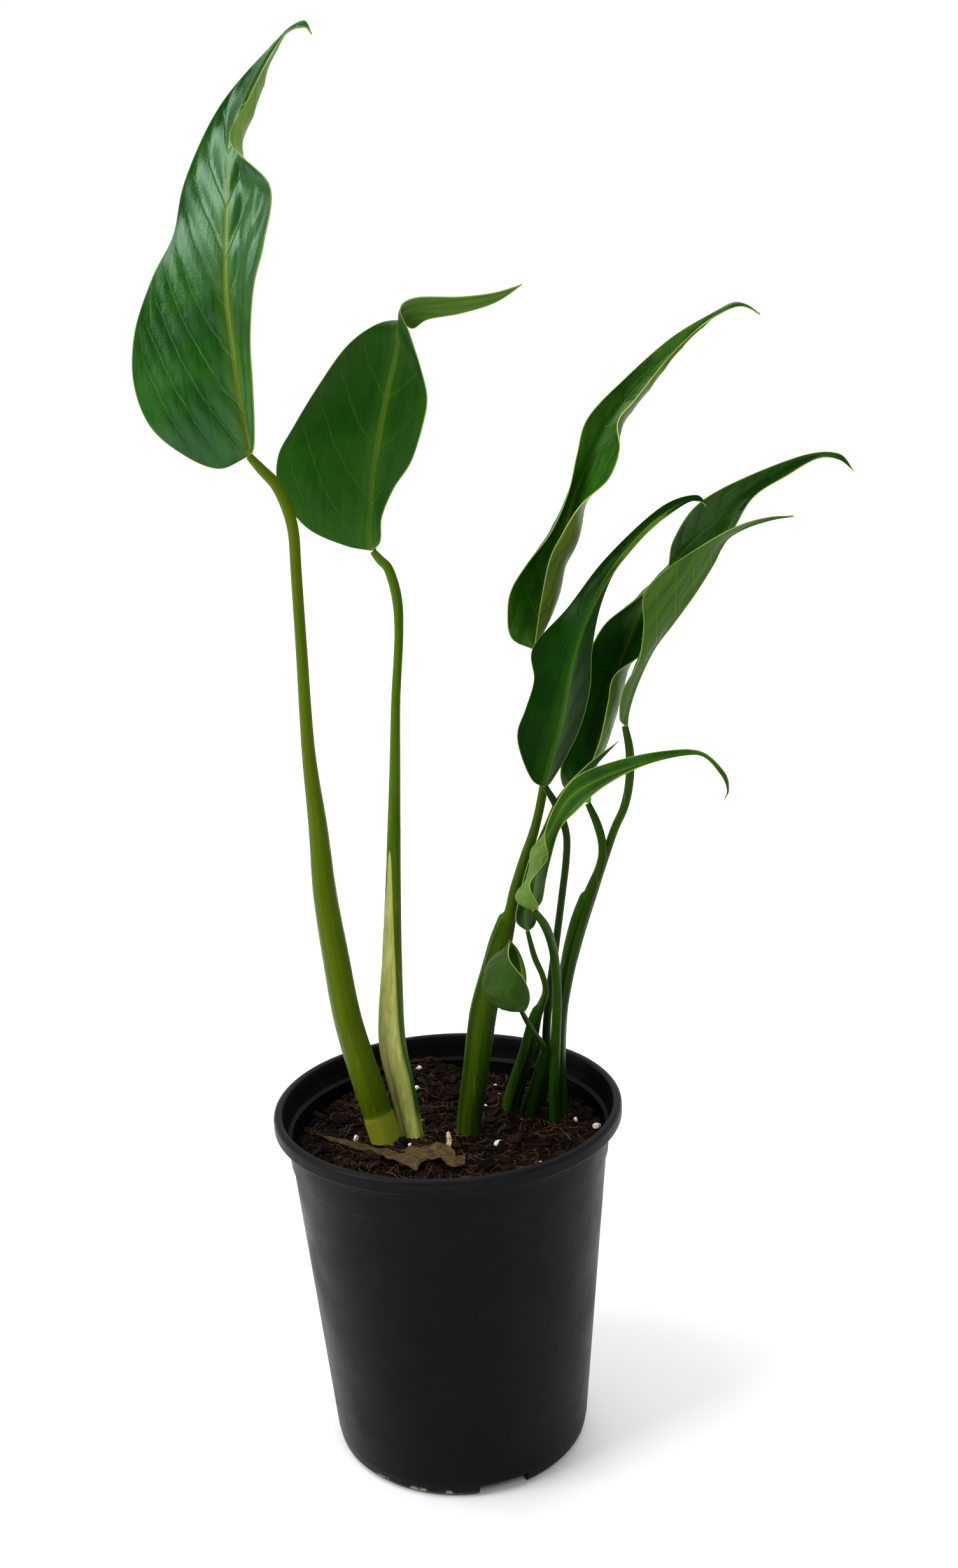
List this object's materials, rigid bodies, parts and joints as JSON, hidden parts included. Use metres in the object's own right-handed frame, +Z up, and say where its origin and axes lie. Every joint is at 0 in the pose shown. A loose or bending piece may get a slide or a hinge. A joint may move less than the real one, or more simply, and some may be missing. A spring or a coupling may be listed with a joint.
{
  "type": "potted monstera plant",
  "caption": "Young monstera with long-stalked, pointed, partly rolled leaves, growing in dark potting soil in a plain black nursery pot.",
  "frame": {"origin": "centre of the pot's flat base, on the surface it stands on", "axes": "+Z up; -Y towards the side most leaves face; +X towards the side the leaning group of leaves points to"},
  "size_m": [0.3196, 0.165, 0.6498],
  "materials": {
    "pot": "fine-grained near-black moulded plastic, slightly polished at the rim",
    "soil": "loose, moist, dark brown peat and bark potting mix",
    "leaf_blade": "glossy waxy dark green above, paler matt sage green below",
    "petiole": "smooth satin yellow-green, ribbed along its length",
    "perlite": "chalky white, porous",
    "bark": "rough weathered brown bark",
    "twig": "pale dry wood",
    "dry_leaf": "brittle khaki-brown dead leaf"
  },
  "bodies": {
    "root": {"pot": "pot", "soil": "soil", "petiole_1": "petiole", "petiole_2": "petiole", "petiole_3": "petiole", "petiole_4": "petiole", "petiole_5": "petiole", "petiole_6": "petiole", "petiole_7": "petiole", "petiole_8": "petiole", "petiole_9": "petiole", "leaf_1": "leaf_blade", "leaf_2": "leaf_blade", "leaf_3": "leaf_blade", "leaf_4": "leaf_blade", "leaf_5": "leaf_blade", "leaf_6": "leaf_blade", "leaf_7": "leaf_blade", "leaf_8": "leaf_blade", "leaf_9": "leaf_blade", "perlite_1": "perlite", "perlite_2": "perlite", "perlite_3": "perlite", "bark_chip_1": "bark", "bark_chip_2": "bark", "bark_chip_3": "bark", "twig_stub": "twig", "leaf_scrap": "dry_leaf"}
  },
  "joints": []
}
